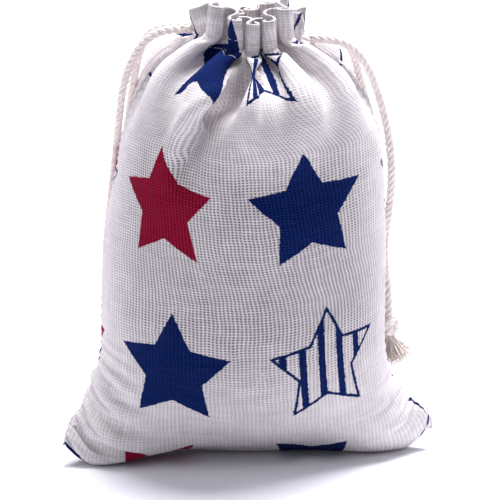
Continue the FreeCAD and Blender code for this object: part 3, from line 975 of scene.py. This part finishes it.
for column, side, into in ((0, "left", 1.0), (-1, "right", -1.0)):
    edge = inner[0, 12:casing_row - 6:3, column]
    lean = twist(edge[:, 2])
    inward = into * np.stack([np.cos(lean), np.sin(lean), np.zeros(len(edge))], axis=1)
    allowance(f"{side}_seam_allowance", edge, inward, f"{side}_side_seam")

bottom = (inner[0, 2, 10:-10:3] + inner[1, 2, 10:-10:3]) / 2
bottom_in = (fine[0, 9, 10:-10:3] + fine[1, 9, 10:-10:3]) / 2 - bottom
bottom_in[:, 2] = np.maximum(bottom_in[:, 2], 0.0008)
allowance("bottom_seam_allowance", bottom + (0, 0, 0.0004), unit(bottom_in), "bottom_seam")

# ---------------------------------------------------------------- the drawstrings
PLY_OFFSET = 0.00056
PLY_RADIUS = 0.00064
PLY_PITCH = 0.0058
LINE_STEP = 0.0004
NECK_CORD_RADIUS = 0.0062
FRAY_LENGTH = 0.0086
# For each side: the way it faces, the heights of its loop in the channel and of its opening, the top and
# lean of its knot, the top, direction and spread of its frayed ends, and its two free cords and their turns.
SIDES = {
    "left": (-1, 0.1154, 0.1161, (-0.0360, 0.0158, 0.0410), 0.3,
             (-0.0360, 0.0158, 0.0356), (0.09, 0.0, -1.0), 0.0032, (LEFT_FRONT, LEFT_REAR), (0.0, 1.3)),
    "right": (1, 0.1131, 0.1135, (0.0379, 0.0106, 0.0344), -0.2,
              (0.0379, 0.0106, 0.0290), (0.30, -0.05, -1.0), 0.0046, (RIGHT_FRONT, RIGHT_REAR), (2.2, 0.6)),
}


def twisted(parts, line, start_turn):
    """Three plies laid round a line."""
    line = even_line(line, 0.00045)
    across, up = frames_along(line)
    run = run_along(line)
    for ply in range(3):
        turn_by = 2 * math.pi * (run / PLY_PITCH + ply / 3) + start_turn
        offset = PLY_OFFSET * (1 + 0.06 * np.sin(run * 900 + ply))
        lean = across * np.cos(turn_by)[:, None] + up * np.sin(turn_by)[:, None]
        swell = 1 + 0.07 * np.sin(run * 1300 + 2 * ply) + 0.04 * np.sin(run * 3100 + ply)
        parts.add(line + lean * offset[:, None], PLY_RADIUS * swell, 9)


def fuzz(parts, line, count, reach):
    """Short loose fibres that stand off a cord."""
    across, up = frames_along(line)
    tangent = unit(np.gradient(line, axis=0))
    for _ in range(count):
        at = int(rng.integers(4, len(line) - 4))
        angle = rng.uniform(0, 2 * math.pi)
        lean = rng.uniform(-1.3, 1.3)
        side = across[at] * math.cos(angle) + up[at] * math.sin(angle)
        turned = across[at] * math.cos(angle + lean) + up[at] * math.sin(angle + lean)
        start = line[at] + side * 0.0009
        length = reach * rng.uniform(0.4, 1.0)
        way = tangent[at] * rng.uniform(-1.0, 1.0)
        t = np.linspace(0, 1, 6)[:, None]
        bend = side * t + (turned * 0.8 + way) * t ** 2
        parts.add(start + bend * length * 0.6, 0.000035 * (1 - 0.5 * t[:, 0]), 3)


def cord_loop(side, facing, height):
    """The part of a drawstring that runs round inside the channel and back out on its own side."""
    angle = np.radians(np.linspace(28, 332, 22))
    wide, deep = facing * NECK_CORD_RADIUS, NECK_CORD_RADIUS * 0.92
    ring = [(wide * math.cos(a), deep * math.sin(a), height) for a in angle]
    parts = Parts()
    twisted(parts, curve_line(ring, LINE_STEP), 0.4)
    parts.piece(f"{side}_channel_cord", cord_material, "root", "drawcord", f"{side}_drawstring_loop")
    return ring


def cord_leads(side, facing, ring, height):
    """The two short runs from the channel to where the cords come out of the side."""
    parts = Parts()
    for end in (ring[0], ring[-1]):
        places = ((0.0085, 0.0022, end[2] + 0.0001), (0.0130, 0.0016, height), (0.0170, 0.0015, height))
        route = [end] + [(facing * x, math.copysign(y, end[1]), z) for x, y, z in places]
        twisted(parts, curve_line(route, LINE_STEP), 1.1)
    parts.piece(f"{side}_cord_exits", cord_material, f"{side}_cord", "drawcord", f"{side}_cord_leads")


def strand(side, place, route, turn_at):
    """A free cord, and the line that it follows."""
    line = curve_line(route, LINE_STEP)
    parts = Parts()
    twisted(parts, line, turn_at)
    fuzz(parts, line, 70, 0.0022)
    piece = parts.piece(f"{side}_{place}_cord", cord_material, None, "drawcord", f"{side}_{place}_strand")
    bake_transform(piece)
    return piece, line


def knot_line(centre, size, height, tilt):
    """An overhand knot, pulled tight, as a closed line."""
    t = np.linspace(0, 2 * math.pi, 240)
    x = size * (np.sin(t) + 1.75 * np.sin(2 * t)) / 2.75
    y = size * (np.cos(t) - 1.75 * np.cos(2 * t)) / 2.75
    z = height * -np.sin(3 * t)
    x, z = x * math.cos(tilt) - z * math.sin(tilt), x * math.sin(tilt) + z * math.cos(tilt)
    return np.stack([x, y, z], axis=1) + centre


def knot(side, top, tilt):
    """The knot that ties the two cords of a side together."""
    parts = Parts()
    centre = np.array(top) + (0, 0, -0.0026)
    for shift, size, height, lean in ((0.0007, 0.0021, 0.0013, tilt), (-0.0008, 0.0019, 0.0012, tilt + 0.5)):
        twisted(parts, knot_line(centre + (0, 0, shift), size, height, lean), 0.3 + shift * 1000)
    for hand in (-1, 1):
        run = [(0.00125, 0, 0.0030), (0.0009, 0.0002, 0.0012), (0.0006, 0, -0.0012), (0.0008, 0, -0.0034)]
        run = np.array(run) * (hand, 1, 1)
        twisted(parts, even_line(run + centre, LINE_STEP), 0.9 * hand)
    fuzz(parts, even_line(knot_line(centre, 0.0026, 0.0018, tilt), 0.0003), 60, 0.0018)
    return parts.piece(f"{side}_overhand_knot", cord_material, f"{side}_tail", "drawcord", f"{side}_knot")


def tassel(side, top, way, spread_by):
    """Cord ends that have come undone into yarns and fibres."""
    parts = Parts()
    top = np.array(top)
    way = np.array(way) / np.linalg.norm(way)
    across = np.cross(way, (0.0, 1.0, 0.0))
    across /= np.linalg.norm(across)
    other = np.cross(way, across)
    for i in range(230):
        thick = i % 4 == 0
        angle = rng.uniform(0, 2 * math.pi)
        off = math.sqrt(rng.random())
        out = across * math.cos(angle) + other * math.sin(angle)
        sway = across * rng.normal() + other * rng.normal()
        long = FRAY_LENGTH * rng.uniform(0.68, 1.0) * (1.0 - 0.15 * off)
        t = np.linspace(0, 1, 12)[:, None]
        line = top + out * 0.0009 * off + way * long * t + out * spread_by * off * t ** 1.5
        line = line + sway * 0.00035 * np.sin(t * math.pi * rng.uniform(1.5, 3.5)) * t
        line = line + np.array([0, 0, -0.0006]) * t ** 2
        radius = (0.00024 if thick else 0.00009) * (1 - 0.35 * t[:, 0])
        parts.add(line, radius, 5 if thick else 4)
    piece = parts.piece(f"{side}_frayed_ends", fray_material, None, "drawcord", f"{side}_tassel")
    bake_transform(piece)
    return piece


ends = {side: [knot(side, row[3], row[4])] for side, row in SIDES.items()}
rings = {side: cord_loop(side, row[0], row[1]) for side, row in SIDES.items()}
for side, row in SIDES.items():
    cord_leads(side, row[0], rings[side], row[2])
cords = {}
for side, row in SIDES.items():
    cords[side] = [strand(side, *facts) for facts in zip(("front", "rear"), row[8], row[9])]
for side, row in SIDES.items():
    ends[side].append(tassel(side, *row[5:8]))
for side in SIDES:
    for piece, line in cords[side]:
        length = round(float(run_along(line)[-1]), 4)

# ---------------------------------------------------------------- floor and light
bpy.context.scene.view_settings.view_transform = "Standard"

floor_mesh = mesh_from("floor", [(-3, -3, 0), (3, -3, 0), (3, 5, 0), (-3, 5, 0)], [(0, 1, 2, 3)])
floor_graph = Graph("pale_floor")
floor_shader = floor_graph.node("ShaderNodeBsdfPrincipled")
floor_shader.inputs["Base Color"].default_value = linear(238, 238, 243)
floor_shader.inputs["Roughness"].default_value = 0.7
floor_shader.inputs["Specular IOR Level"].default_value = 0.1
floor_graph.node("ShaderNodeOutputMaterial", Surface=floor_shader.outputs[0])
floor_mesh.materials.append(floor_graph.material)
floor = placed("floor", floor_mesh)
floor.location.z = -0.0001

world = bpy.data.worlds.new("studio")
world.use_nodes = True
world.node_tree.nodes["Background"].inputs["Color"].default_value = linear(243, 243, 255)
world.node_tree.nodes["Background"].inputs["Strength"].default_value = 0.30
bpy.context.scene.world = world

LIGHT_COLOUR = (0.975, 0.965, 1.0)
# Each light: where it is, what it is aimed at, its size across and its power.
for name, place, aim, size, power in (
    ("left_softbox", (-0.75, 0.06, 0.28), (0, 0, 0.05), 0.55, 1.7),
    ("right_softbox", (0.80, 0.10, 0.30), (0, 0, 0.05), 0.60, 1.30),
    ("back_softbox", (0.12, 0.36, 1.00), (0, 0.05, 0.05), 0.70, 30.0),
    ("front_fill", (-0.10, -0.90, 0.16), (0, -0.06, 0.0), 0.60, 0.42),
):
    data = bpy.data.lights.new(name, "AREA")
    data.shape = "DISK"
    data.size = size
    data.energy = power
    data.color = LIGHT_COLOUR
    light = placed(name, data)
    light.location = place
    light.rotation_euler = (Vector(aim) - Vector(place)).to_track_quat("-Z", "Y").to_euler()
